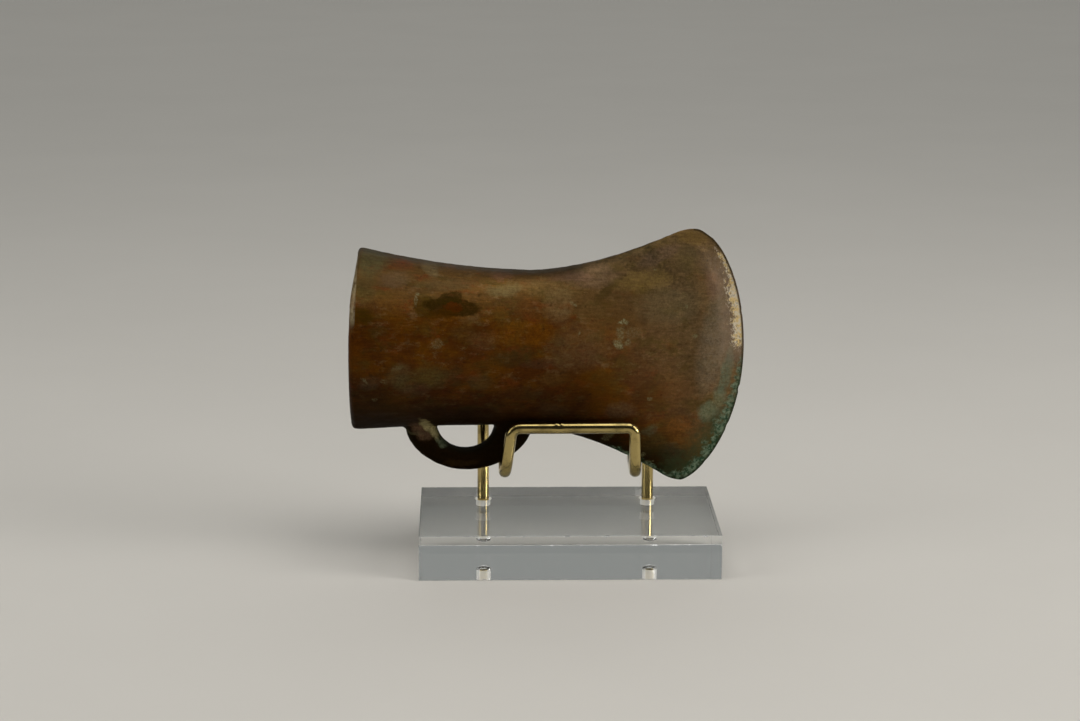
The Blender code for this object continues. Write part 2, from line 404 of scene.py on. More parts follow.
def soften_inner_corners(mesh, reach, rounds):
    """Fills the mesh's inner corners with a soft fillet about reach wide."""
    points = points_of(mesh)
    corner = inner_corner_points(mesh)
    tree = kdtree.KDTree(len(corner))
    for k, index in enumerate(corner):
        tree.insert(points[index], k)
    tree.balance()
    weight = np.array([smoothstep(1.3 - tree.find(p)[2] / reach) for p in points])[:, None]
    ends = edges_of(mesh)
    count = np.bincount(ends.ravel(), minlength=len(points))[:, None]
    for _ in range(rounds):
        total = np.zeros_like(points)
        np.add.at(total, ends[:, 0], points[ends[:, 1]])
        np.add.at(total, ends[:, 1], points[ends[:, 0]])
        points += weight * 0.6 * (total / count - points)
    put_points(mesh, points)


def add_attribute(mesh, name, values):
    """Keeps a value for each of the mesh's points, for its material to read."""
    attribute = mesh.attributes.new(name, "FLOAT", "POINT")
    attribute.data.foreach_set("value", np.asarray(values, np.float32))


def dress(item, slot, *nodes):
    """Makes the item a piece of the object, in place of the solids named."""
    item.data.shade_smooth()
    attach(item, "root")
    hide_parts(*nodes)


# The acrylic block.


def build_block(shape):
    low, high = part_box("acrylic_base")
    bmesh.ops.create_cube(shape, size=1.0)
    bmesh.ops.scale(shape, vec=high - low, verts=shape.verts)
    bmesh.ops.translate(shape, vec=(low + high) / 2, verts=shape.verts)
    bmesh.ops.bevel(
        shape, geom=shape.edges[:], offset=BASE_EDGE, segments=EDGE_SEGMENTS, profile=0.5, affect="EDGES"
    )
    long_edges = [edge for edge in shape.edges if edge.calc_length() > 10 * BASE_EDGE]
    bmesh.ops.subdivide_edges(shape, edges=long_edges, cuts=EDGE_CUTS)
    chip_edges(shape, (low + high) / 2, (high - low) / 2)


def chip_edges(shape, middle, half):
    """Widens the bevels here and there into small chips. The points on the faces stay in their planes."""
    for vert in shape.verts:
        inset = Vector([half[k] - abs(vert.co[k] - middle[k]) for k in range(3)])
        along = max(range(3), key=lambda k: inset[k])
        if inset[along] < 0.001 or sorted(inset)[1] > 1.01 * BASE_EDGE:
            continue
        corner = [math.copysign(half[k], vert.co[k] - middle[k]) for k in range(3)]
        spot = Vector([vert.co[k] if k == along else corner[k] for k in range(3)])
        chip = noise.noise(spot * CHIP_WAVES[0]) + 0.7 * noise.noise(spot * CHIP_WAVES[1])
        growth = CHIP_GROWTH * max(0.0, chip - CHIP_LEVEL)
        for k in range(3):
            if k != along:
                vert.co[k] -= math.copysign(inset[k] * growth, vert.co[k] - middle[k])


def build_hole(shape):
    """The tool that cuts a hole: a chamfer, satin walls with a clear foot, and the drill's cone."""
    radius = WIRE_RADIUS + HOLE_CLEARANCE
    foot = HOLE_DEPTH + CUT_OVERLAP
    depths = (-CUT_OVERLAP, HOLE_CHAMFER, HOLE_DEPTH - HOLE_CLEAR_FOOT, foot)
    turns = [2 * math.pi * k / HOLE_SIDES for k in range(HOLE_SIDES)]
    rings = []
    for grown, depth in zip((HOLE_CHAMFER + CUT_OVERLAP, 0.0, 0.0, 0.0), depths):
        wide = radius + grown
        rings.append([shape.verts.new((wide * math.cos(t), wide * math.sin(t), -depth)) for t in turns])
    join_rings(shape, rings)
    for face in shape.faces:
        face.material_index = 1 if face.calc_center_median().z < HOLE_CHAMFER - foot else 0
    shape.faces.new(rings[0])
    tip = shape.verts.new((0.0, 0.0, -foot - radius * HOLE_TIP))
    for k in range(HOLE_SIDES):
        shape.faces.new((rings[-1][k], rings[-1][(k + 1) % HOLE_SIDES], tip)).material_index = 1


def make_block(clear, drilled):
    top_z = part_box("acrylic_base")[1].z
    block = object_from(build_block, "clear_block", clear)
    holes = []
    for offset in POST_OFFSETS:
        hole = object_from(build_hole, "hole", drilled)
        hole.data.materials.append(clear)
        hole.location = (base_middle_x() + offset, POST_Y, top_z)
        holes.append(hole)
    carve(block, holes, "DIFFERENCE")
    dress(block, "acrylic", "acrylic_base")
    for face in block.data.polygons:
        face.use_smooth = face.area < FLAT_FACE_AREA


def acrylic():
    shader = Shader("clear_acrylic", Roughness=0.0, IOR=1.49, Transmission_Weight=1.0)
    shader.surface.inputs["Base Color"].default_value = (0.985, 0.995, 0.99, 1.0)
    place = shader.place()
    haze = shader.span(shader.noise(place, 6.0, 5.0, 0.6), 0.45, 0.75, 0.004, 0.035)
    shader.give(Roughness=haze)
    return shader.material


def drilled_acrylic():
    """The satin walls of the drilled holes, with a painted glow: a faint emission that stands in for the light
    their frosted surface scatters.
    """
    # Painted light: the walls glow by emission although they are no lamp.
    values = {"Roughness": 0.35, "IOR": 1.49, "Transmission_Weight": 0.5, "Emission_Strength": 0.25}
    shader = Shader("drilled_acrylic", **values)
    shader.surface.inputs["Base Color"].default_value = (0.98, 0.98, 0.96, 1.0)
    shader.surface.inputs["Emission Color"].default_value = (1.0, 0.97, 0.88, 1.0)
    place = shader.place()
    rings = shader.noise(place, 0.25, 2.0, 0.5, (6.0, 6.0, 1.0))
    shader.give(Normal=shader.bump(rings, 0.00004, 0.6))
    return shader.material


# The brass cradle.


def rounded_path(corners, bends):
    """The points of a path through corners, each inner one rounded by an arc of its bend's radius."""
    points = [corners[0]]
    for before, corner, after, radius in zip(corners, corners[1:], corners[2:], bends):
        back = (before - corner).normalized()
        ahead = (after - corner).normalized()
        half_angle = back.angle(ahead) / 2
        bisector = (back + ahead).normalized()
        centre = corner + bisector * (radius / math.sin(half_angle))
        start = corner + back * (radius / math.tan(half_angle)) - centre
        end = corner + ahead * (radius / math.tan(half_angle)) - centre
        for step in range(BEND_STEPS + 1):
            points.append(centre + start.slerp(end, step / BEND_STEPS) * radius)
    points.append(corners[-1])
    return points


def evenly_spaced(points, step):
    """The same path with points about step apart."""
    path = np.array([tuple(p) for p in points])
    gone = np.concatenate([[0.0], np.cumsum(np.linalg.norm(np.diff(path, axis=0), axis=1))])
    marks = np.linspace(0.0, gone[-1], round(gone[-1] / step) + 1)
    return [Vector([np.interp(mark, gone, path[:, k]) for k in range(3)]) for mark in marks]


def sweep_wire(shape, points):
    """A round wire along the points, with its ends' edges taken off."""
    side = None
    rings = []
    last = len(points) - 1
    for k, point in enumerate(points):
        along = (points[min(k + 1, last)] - points[max(k - 1, 0)]).normalized()
        if side is None:
            side = along.orthogonal()
        side = (side - along * side.dot(along)).normalized()
        up = along.cross(side)
        radius = WIRE_RADIUS * (WIRE_END if k in (0, last) else 1.0)
        ring = []
        for n in range(WIRE_SIDES):
            turn = 2 * math.pi * n / WIRE_SIDES
            ring.append(shape.verts.new(point + (side * math.cos(turn) + up * math.sin(turn)) * radius))
        rings.append(ring)
    join_rings(shape, rings)
    shape.faces.new(rings[0])
    shape.faces.new(rings[-1][::-1])


def base_middle_x():
    low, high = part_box("acrylic_base")
    return (low.x + high.x) / 2


def post_point(which, z):
    return Vector((POST_OFFSETS[which], POST_Y, z))


def back_corners():
    foot_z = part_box("acrylic_base")[1].z - HOLE_DEPTH
    left = [post_point(0, foot_z), post_point(0, BACK_TOP_Z)]
    return left + [post_point(1, BACK_TOP_Z), post_point(1, foot_z)]


def front_corners():
    elbows = [Vector((offset, FRONT_Y, ELBOW_Z)) for offset in ELBOW_OFFSETS]
    bar_ends = [Vector((offset, FRONT_Y, BAR_Z)) for offset in BAR_OFFSETS]
    knees = [Vector((offset, ARM_KNEE_Y, ARM_Z)) for offset in ELBOW_OFFSETS]
    left = [post_point(0, ARM_Z), knees[0], elbows[0], bar_ends[0]]
    return left + [bar_ends[1], elbows[1], knees[1], post_point(1, ARM_Z)]


def build_back_frame(shape):
    sweep_wire(shape, evenly_spaced(rounded_path(back_corners(), [BACK_BEND, BACK_BEND]), WIRE_STEP))


def build_front_frame(shape):
    bends = [ARM_BEND, ELBOW_BEND, *BAR_BENDS, ELBOW_BEND, ARM_BEND]
    sweep_wire(shape, evenly_spaced(rounded_path(front_corners(), bends), WIRE_STEP))


def build_braze(shape):
    """The collar of brazing metal round a joint."""
    bmesh.ops.create_uvsphere(shape, u_segments=28, v_segments=20, radius=BRAZE_RADIUS)
    for vert in shape.verts:
        vert.co *= 0.97 + 0.03 * noise.noise(vert.co * 900)


def build_burr(shape):
    """A small tool mark left standing on the bar."""
    bmesh.ops.create_uvsphere(shape, u_segments=12, v_segments=8, radius=BURR_RADIUS)
    bmesh.ops.scale(shape, vec=BURR_SHAPE, verts=shape.verts)


def make_cradle(material):
    cradle = object_from(build_back_frame, "brass_wire_cradle", material)
    tools = [object_from(build_front_frame, "front_frame", material)]
    for which in (0, 1):
        braze = object_from(build_braze, "braze", material)
        braze.location = post_point(which, ARM_Z)
        tools.append(braze)
    for offset in BURR_OFFSETS:
        burr = object_from(build_burr, "burr", material)
        burr.location = (offset, FRONT_Y - BURR_LIFT[0], BAR_Z + BURR_LIFT[1])
        burr.rotation_euler = BURR_TURN
        tools.append(burr)
    carve(cradle, tools, "UNION")
    soften_inner_corners(cradle.data, WIRE_FILLET, 12)
    cradle.location.x = base_middle_x()
    dress(cradle, "brass", "brass_cradle")


def brass():
    shader = Shader("polished_brass", Metallic=1.0, Coat_Weight=0.5, Coat_Roughness=0.1)
    place = shader.place()
    cloud = shader.noise(place, 5.0, 4.0, 0.6)
    tarnish = shader.span(cloud, 0.46, 0.68)
    colour = shader.blend(tarnish, srgb(176, 156, 96), srgb(128, 111, 62))
    spots = shader.span(shader.noise(place, 0.9, 2.0, 0.5), 0.66, 0.74)
    colour = shader.blend(shader.times(spots, 0.4), colour, srgb(96, 78, 44))
    fine = shader.noise(place, 0.35, 3.0, 0.6)
    gloss = shader.math("ADD", shader.span(tarnish, 0.0, 1.0, 0.13, 0.24), shader.times(fine, 0.05))
    shader.give(Base_Color=colour, Roughness=gloss, Normal=shader.bump(fine, 0.00001, 0.5))
    return shader.material


# The axe.


def side_height(side, at):
    """How far the outline stands from the axis at a distance from the mouth."""
    flare_length = CORNER_AT - side.waist_at
    corner_share = side.flare_power * CORNER_ROUND / (2 * flare_length)
    flare = (side.corner - side.waist) / (1 - corner_share)
    height = side.waist
    height += (side.mouth - side.waist) * max(0.0, 1 - at / side.waist_at) ** side.mouth_power
    height += flare * max(0.0, (at - side.waist_at) / flare_length) ** side.flare_power
    into_corner = max(0.0, (at - CORNER_AT + CORNER_ROUND) / CORNER_ROUND)
    return height - flare * corner_share * into_corner**2


def half_thickness(along):
    """Half the body's thickness, where along is 0 at the mouth and 1 at the cutting edge."""
    body = mix(MOUTH_HALF_THICKNESS, BEVEL_HALF_THICKNESS, along**TAPER_POWER)
    return mix(body, EDGE_HALF_THICKNESS, max(0.0, (along - BEVEL_FROM) / (1 - BEVEL_FROM)))


def mouth_shift(height, across):
    """How far the mouth's slanting, slightly bowed plane lies from the frame's own."""
    return MOUTH_SETBACK - MOUTH_SLANT * height - MOUTH_BOW * max(0.0, 1 - across * across)


def body_point(along, turn, inset=0.0):
    """A point of the body's outside. turn goes round the section from its top, inset shrinks the section."""
    fullness = mix(MOUTH_FULLNESS, BLADE_FULLNESS, smoothstep(along))
    across = math.cos(turn)
    out = math.copysign(max(0.0, 1 - abs(across) ** fullness) ** (1 / fullness), math.sin(turn))
    at = along * CORNER_AT
    top = side_height(TOP, at) - inset
    foot = inset - side_height(FOOT, at)
    edge_power = TOP.edge_power if across > 0 else FOOT.edge_power
    at += EDGE_REACH * along**EDGE_REACH_POWER * max(0.0, 1 - across * across) ** (1 / edge_power)
    height = mix(foot, top, (across + 1) / 2)
    at += mouth_shift(height, across) * (1 - along) ** 4
    return Vector((at, (half_thickness(along) - inset) * out, height))


def socket_sizes(share):
    """The socket's half height and half thickness, from its mouth at 0 to its rounded end at 1."""
    into_end = max(0.0, (share - 1) * SOCKET_DEPTH / SOCKET_END_ROUND + 1)
    closing = math.sqrt(max(0.0, 1 - into_end**2)) * 0.75 + 0.25
    height = mix(SOCKET_MOUTH_HEIGHT, SOCKET_BOTTOM_HEIGHT, share)
    thickness = mix(SOCKET_MOUTH_HALF_THICKNESS, SOCKET_BOTTOM_HALF_THICKNESS, share)
    return height * closing, thickness * closing


def socket_point(at, turn, sizes, slanted):
    """A point of the socket's wall. slanted is how much it follows the mouth's own slant."""
    height, thickness = sizes
    shift = mouth_shift(height * math.cos(turn), math.cos(turn)) * slanted
    return Vector((at + shift, thickness * math.sin(turn), height * math.cos(turn)))


def build_body(shape):
    """One skin, from the socket's end along its wall, over the lip and along the outside to the edge."""
    turns = [2 * math.pi * k / BODY_SIDES for k in range(BODY_SIDES)]
    rings = []
    for step in range(SOCKET_RINGS, 0, -1):
        share = 1 - (1 - step / SOCKET_RINGS) ** 1.3
        slanted = (1 - share) ** 4
        at = share * SOCKET_DEPTH
        rings.append([shape.verts.new(socket_point(at, t, socket_sizes(share), slanted)) for t in turns])
    for step in range(LIP_STEPS + 1):
        bend = math.pi / 2 * step / LIP_STEPS
        grown = SOCKET_LIP * (1 - math.cos(bend))
        at = SOCKET_LIP * (1 - math.sin(bend))
        sizes = [size + grown for size in socket_sizes(at / SOCKET_DEPTH)]
        rings.append([shape.verts.new(socket_point(at, t, sizes, 1.0)) for t in turns])
    for step in range(LIP_STEPS):
        bend = math.pi / 2 * step / LIP_STEPS
        inset = LIP_RADIUS * (1 - math.sin(bend))
        back = Vector((LIP_RADIUS * (1 - math.cos(bend)), 0.0, 0.0))
        rings.append([shape.verts.new(body_point(0.0, turn, inset) + back) for turn in turns])
    first = LIP_RADIUS / CORNER_AT
    for step in range(BODY_RINGS):
        along = mix(first, 1.0, 1 - (1 - step / (BODY_RINGS - 1)) ** 1.15)
        rings.append([shape.verts.new(body_point(along, turn)) for turn in turns])
    join_rings(shape, rings)
    shape.faces.new(rings[0])
    close_edge(shape, rings[-1])


def close_edge(shape, ring):
    """The narrow strip of the cutting edge, between the ring's near and far sides."""
    half = len(ring) // 2
    shape.faces.new((ring[0], ring[1], ring[-1]))
    for k in range(1, half - 1):
        shape.faces.new((ring[k], ring[k + 1], ring[-k - 1], ring[-k]))
    shape.faces.new((ring[half - 1], ring[half], ring[half + 1]))


def loop_oval(turn, sizes, powers):
    """A point of a half oval that hangs below LOOP_TOP_Z: turn is 0 at its mouth end, pi at its blade end."""
    before, after, depth = sizes
    across = -math.cos(turn)
    length, power = (before, powers[0]) if across < 0 else (after, powers[1])
    drop = max(0.0, 1 - across * across) ** (1 / power)
    return Vector((LOOP_MIDDLE_AT + length * across, 0.0, LOOP_TOP_Z - depth * drop))


def build_loop(shape):
    """The strap between the two half ovals, with its roots let into the body."""
    rings = []
    for step in range(-1, LOOP_STEPS + 2):
        turn = math.pi * min(max(step / LOOP_STEPS, 0.0), 1.0)
        outer = loop_oval(turn, LOOP_OUTER, LOOP_OUTER_POWERS)
        inner = loop_oval(turn, LOOP_INNER, (2.0, 2.0))
        if step in (-1, LOOP_STEPS + 1):
            outer.z += LOOP_ROOT_DEPTH
            inner.z += LOOP_ROOT_DEPTH
        middle = (outer + inner) / 2
        out = (outer - inner) / 2
        width = mix(LOOP_ROOT_WIDTH, LOOP_WIDTH, smoothstep(2 * math.sin(turn)))
        ring = []
        for k in range(LOOP_SIDES):
            around = 2 * math.pi * k / LOOP_SIDES
            depth = signed_power(math.cos(around), 2 / LOOP_FULLNESS)
            side = signed_power(math.sin(around), 2 / LOOP_FULLNESS)
            ring.append(shape.verts.new(middle + out * depth + Vector((0.0, side * width / 2, 0.0))))
        rings.append(ring)
    join_rings(shape, rings)
    shape.faces.new(rings[0])
    shape.faces.new(rings[-1])


def cutting_edge():
    """Points along the cutting edge, from the upper corner to the lower one."""
    return [body_point(1.0, math.pi * k / EDGE_STEPS) for k in range(EDGE_STEPS + 1)]


def distance_to_edge(points):
    edge = cutting_edge()
    tree = kdtree.KDTree(len(edge))
    for k, point in enumerate(edge):
        tree.insert((point.x, 0.0, point.z), k)
    tree.balance()
    return np.array([tree.find((p[0], 0.0, p[2]))[2] for p in points])


def inside_socket(points):
    """1 in the socket, 0 outside it."""
    found = np.zeros(len(points))
    for k, (at, y, z) in enumerate(points):
        share = at / SOCKET_DEPTH
        if -0.02 < share < 1.01:
            height, thickness = socket_sizes(min(max(share, 0.0), 1.0))
            spread = math.hypot(y / (thickness + SOCKET_LIP), z / (height + SOCKET_LIP))
            found[k] = 1 - smoothstep((spread - 0.98) / 0.06)
    return found


def wear_mouth(mesh):
    """Sets the mouth's upper corner back, as wear has, and the rest of it a little."""
    points = points_of(mesh)
    for point in points:
        up = smoothstep((point[2] - 0.010) / 0.014)
        down = smoothstep((0.018 - point[2]) / 0.030)
        near = 1 - smoothstep(point[0] / MOUTH_WEAR_REACH)
        point[0] += (MOUTH_WEAR * up + MOUTH_LOWER_WEAR * down) * near
    put_points(mesh, points)


def add_relief(mesh, to_edge, inside):
    """Casting seams, an uneven cast skin, corrosion and a nicked edge, all as moves of the mesh's points."""
    points = points_of(mesh)
    normals = np.empty(len(points) * 3, np.float32)
    mesh.vertex_normals.foreach_get("vector", normals)
    normals = normals.reshape(-1, 3)
    for k, point in enumerate(points):
        spot = Vector(point)
        swell = SWELL * noise.noise(spot / SWELL_SIZE)
        crust = CRUST * noise.fractal(spot / CRUST_SIZE, 0.9, 2.1, 3)
        seam_and_dark_rim = SEAM_HEIGHT * math.exp(-((point[1] / SEAM_WIDTH) ** 2))
        seam_and_dark_rim *= smoothstep(to_edge[k] / SEAM_FADE - 0.3)
        seam_and_dark_rim *= (0.6 + 0.4 * noise.noise(spot / SEAM_LUMP_SIZE)) * (1 - inside[k])
        fade = mix(0.25, 1.0, smoothstep(to_edge[k] / RELIEF_FADE))
        lift = (swell + crust) * fade * (1 + 1.5 * inside[k]) + seam_and_dark_rim
        lift = min(lift, 0.0) if to_edge[k] < RIM or point[0] < RIM else lift
        points[k] += normals[k] * lift
        if to_edge[k] < NICK_REACH:
            nick = max(0.0, noise.noise(Vector((0.0, 0.0, point[2])) / NICK_SIZE) - 0.1)
            points[k][0] -= NICK_DEPTH * nick * (1 - to_edge[k] / NICK_REACH) ** 2 * 2
    put_points(mesh, points)


def make_axe(material):
    axe = object_from(build_body, "bronze_axe", material)
    carve(axe, [object_from(build_loop, "loop", material)], "UNION")
    mesh = axe.data
    soften_inner_corners(mesh, LOOP_FILLET, 30)
    wear_mouth(mesh)
    points = points_of(mesh)
    to_edge = distance_to_edge(points)
    inside = inside_socket(points)
    add_relief(mesh, to_edge, inside)
    add_attribute(mesh, "to_edge", to_edge / MM)
    add_attribute(mesh, "inside", inside)
    add_attribute(mesh, "to_foot", [(p[2] + side_height(FOOT, min(p[0], CORNER_AT))) / MM for p in points])
    mesh.transform(Matrix.Translation(AXE_MOUTH) @ Matrix.Rotation(AXE_TILT, 4, "Y"))
    dress(axe, "bronze", "socketed_axe")


# Marks on the axe's near side, in millimetres of its own frame: distance from the mouth, height, half sizes,
# turn in degrees, strength and colour.
MARKS = (
    (5.2, 22.6, 3.2, 3.0, 15, 0.6, (92, 92, 58)),
    (3.6, 16.5, 2.4, 3.6, 0, 0.5, (98, 84, 46)),
    (2.9, 9.4, 2.7, 1.8, 0, 0.8, (74, 54, 2)),
    (1.6, 1.0, 1.6, 5.6, 0, 0.6, (108, 58, 2)),
    (13.2, 21.4, 2.4, 1.0, -8, 0.52, (120, 64, 34)),
    (11.0, 18.2, 3.4, 1.5, 5, 0.35, (120, 98, 74)),
    (20.4, 20.4, 1.9, 1.0, -30, 0.45, (134, 120, 84)),
    (25.6, 21.8, 2.2, 0.7, -4, 0.5, (148, 100, 70)),
    (39.2, 19.6, 2.8, 0.8, 0, 0.38, (134, 92, 76)),
    (25.0, 17.2, 6.0, 1.2, 2, 0.28, (118, 102, 66)),
    (40.3, 16.4, 3.8, 1.3, 3, 0.5, (118, 108, 70)),
    (52.0, 17.2, 7.5, 2.0, -3, 0.4, (126, 104, 60)),
    (54.7, 13.0, 3.4, 4.0, 0, 0.45, (130, 106, 68)),
    (46.8, 11.6, 2.6, 2.6, 0, 0.4, (106, 62, 22)),
    (54.7, -7.0, 3.2, 1.8, 0, 0.4, (120, 92, 44)),
    (54.7, -15.5, 3.6, 1.7, 0, 0.45, (112, 86, 52)),
    (82.0, -25.0, 3.4, 2.6, 20, 0.4, (92, 90, 50)),
    (46.0, 5.4, 8.0, 2.8, 2, 0.5, (124, 74, 10)),
    (60.5, 1.5, 6.5, 5.5, 0, 0.5, (108, 84, 54)),
    (31.0, 9.4, 2.4, 1.8, 0, 0.4, (120, 92, 48)),
    (22.0, 8.4, 6.4, 1.6, 6, 0.5, (100, 58, 4)),
    (12.6, 5.2, 4.2, 2.6, 10, 0.45, (96, 52, 0)),
    (30.0, 5.2, 3.4, 1.8, 0, 0.3, (98, 82, 40)),
    (35.2, 3.2, 3.2, 2.4, 0, 0.3, (118, 84, 52)),
    (41.8, -1.4, 4.4, 1.9, 3, 0.65, (64, 52, 22)),
    (50.0, -2.6, 4.0, 1.2, 0, 0.4, (78, 58, 40)),
    (34.6, -3.8, 2.4, 1.3, 0, 0.4, (74, 54, 14)),
    (29.0, -5.6, 2.8, 2.4, 0, 0.4, (82, 48, 24)),
    (15.0, -8.6, 2.6, 1.8, 0, 0.32, (102, 102, 56)),
    (13.2, -6.4, 3.2, 2.4, 45, 0.45, (104, 92, 58)),
    (21.7, -6.6, 4.4, 2.7, -4, 0.65, (92, 82, 42)),
    (34.6, -8.0, 2.8, 1.8, 0, 0.5, (88, 76, 44)),
    (17.6, -10.4, 3.6, 1.5, 4, 0.36, (98, 76, 56)),
    (5.6, -8.6, 2.6, 1.6, 15, 0.35, (98, 86, 66)),
    (8.0, -16.5, 7.0, 5.0, 0, 0.35, (72, 60, 18)),
    (29.5, -17.8, 9.5, 2.0, 0, 0.5, (52, 36, 6)),
    (46.0, -11.0, 6.0, 1.6, 0, 0.35, (72, 48, 26)),
    (63.0, -9.5, 8.0, 4.6, -6, 0.5, (84, 49, 4)),
    (80.5, -11.2, 4.2, 3.4, 0, 0.58, (72, 46, 16)),
    (67.4, 17.0, 4.2, 1.1, 48, 0.7, (70, 57, 24)),
    (63.0, 20.5, 6.0, 2.4, 6, 0.35, (140, 114, 92)),
    (63.4, 11.0, 4.6, 2.6, -30, 0.3, (104, 88, 54)),
    (74.0, 13.0, 8.5, 5.0, 8, 0.4, (86, 60, 24)),
    (77.0, 19.8, 6.6, 2.1, 8, 0.55, (132, 108, 56)),
    (80.6, 26.4, 5.0, 1.7, 22, 0.34, (140, 112, 94)),
    (57.5, 20.2, 5.0, 1.1, 4, 0.32, (138, 104, 84)),
    (88.5, 26.0, 2.4, 3.0, 0, 0.5, (96, 84, 48)),
    (96.8, 3.0, 3.4, 11.0, -6, 0.42, (132, 122, 104)),
    (72.4, -15.6, 3.6, 2.0, 0, 0.45, (112, 92, 66)),
    (89.4, 31.6, 4.0, 1.5, -8, 0.6, (132, 104, 50)),
    (79.5, 10.5, 3.2, 2.6, 0, 0.35, (84, 60, 34)),
    (84.0, 13.5, 7.0, 4.5, 6, 0.35, (116, 104, 76)),
    (95.6, 19.0, 1.6, 3.4, 10, 0.26, (134, 98, 84)),
    (88.5, -9.5, 4.0, 2.4, 20, 0.3, (112, 74, 44)),
    (88.6, -19.6, 2.6, 2.2, 30, 0.6, (132, 82, 34)),
    (81.0, -21.2, 1.8, 1.2, 25, 0.45, (104, 108, 80)),
    (96.8, -15.6, 2.6, 2.2, 30, 0.68, (104, 122, 98)),
    (99.6, -11.0, 1.5, 2.4, 20, 0.5, (108, 124, 100)),
    (101.0, -4.0, 1.3, 6.0, -8, 0.6, (92, 114, 94)),
    (87.0, -27.6, 2.6, 2.4, 0, 0.45, (84, 92, 68)),
    (84.4, -29.2, 6.0, 3.2, 8, 0.7, (44, 42, 22)),
    (84.4, -32.6, 3.6, 1.3, 8, 0.8, (20, 18, 8)),
)

# The old stain near the mouth, in the same measures, from its pale start to its dark end.
STAIN = (
    (19.4, 12.0, 3.0, 2.7, 0, 0.65, (66, 48, 4)),
    (26.4, 11.9, 7.2, 2.4, -4, 0.92, (47, 31, 0)),
    (25.8, 13.9, 3.2, 1.5, 10, 0.85, (50, 36, 2)),
    (24.2, 10.1, 4.4, 1.2, 4, 0.7, (70, 42, 0)),
    (26.9, 11.7, 2.4, 1.2, 0, 0.6, (84, 36, 0)),
)

# Small crusts of pale green on the near side, in the same measures, each with its strength.
CRUSTS = (
    (72.0, 8.7, 1.0, 0.6, 0, 1.0),
    (71.6, 5.6, 0.8, 1.5, 10, 0.55),
    (71.2, 2.6, 1.3, 0.9, -25, 0.95),
    (73.8, 3.4, 0.8, 0.9, 20, 0.6),
    (74.6, 5.8, 1.8, 1.2, 0, 0.25),
    (22.9, 2.4, 1.4, 1.0, 8, 0.36),
    (17.1, 13.6, 0.3, 1.5, -6, 0.55),
    (17.6, 15.3, 0.4, 0.4, 0, 0.9),
    (88.7, 13.3, 0.4, 0.4, 0, 1.0),
    (60.5, 5.3, 0.3, 0.35, 0, 0.6),
    (58.4, 13.5, 1.0, 0.4, -30, 0.6),
    (91.5, 5.1, 0.7, 0.4, 20, 0.5),
    (79.8, 22.9, 0.4, 0.3, 0, 0.6),
    (80.5, -12.0, 0.5, 0.4, 0, 0.5),
    (4.3, -7.9, 1.0, 0.4, -30, 0.4),
    (9.6, -8.1, 0.8, 0.7, 0, 0.25),
    (7.2, -13.6, 0.7, 0.4, 0, 0.22),
    (12.6, -4.4, 1.2, 0.9, 30, 0.14),
    (96.4, -15.6, 1.9, 1.3, 30, 0.6),
    (98.8, -13.0, 1.2, 1.2, 0, 0.45),
    (78.4, -29.0, 1.6, 0.7, 28, 0.9),
    (81.0, -30.6, 1.2, 0.6, 24, 0.8),
    (69.6, -23.4, 1.4, 0.8, 20, 0.4),
)

# Patches painted below after the painted shade, in the same measures as the marks: a painted highlight on the
# loop's lit root, a painted reflection of light along the body's foot, and two tones of the loop.
LOW_TONES_AND_HIGHLIGHTS = (
    (19.4, -23.6, 3.0, 1.5, -44, 0.55, (112, 86, 64)),
    (21.8, -22.8, 3.4, 1.1, -50, 0.85, (154, 142, 98)),
    (25.2, -26.8, 1.9, 0.7, -35, 0.6, (98, 106, 82)),
    (31.0, -32.2, 4.0, 0.8, 5, 0.5, (52, 38, 16)),
    (10.0, -24.2, 8.0, 0.5, -1, 0.6, (92, 86, 60)),
)

# The two sets of scratches: slant in degrees, width, noise offset, colour and strength.
SCRATCHES = (
    (38, 0.3, 7.0, (44, 32, 12), 0.45),
    (-27, 0.22, 13.0, (140, 116, 78), 0.1),
)


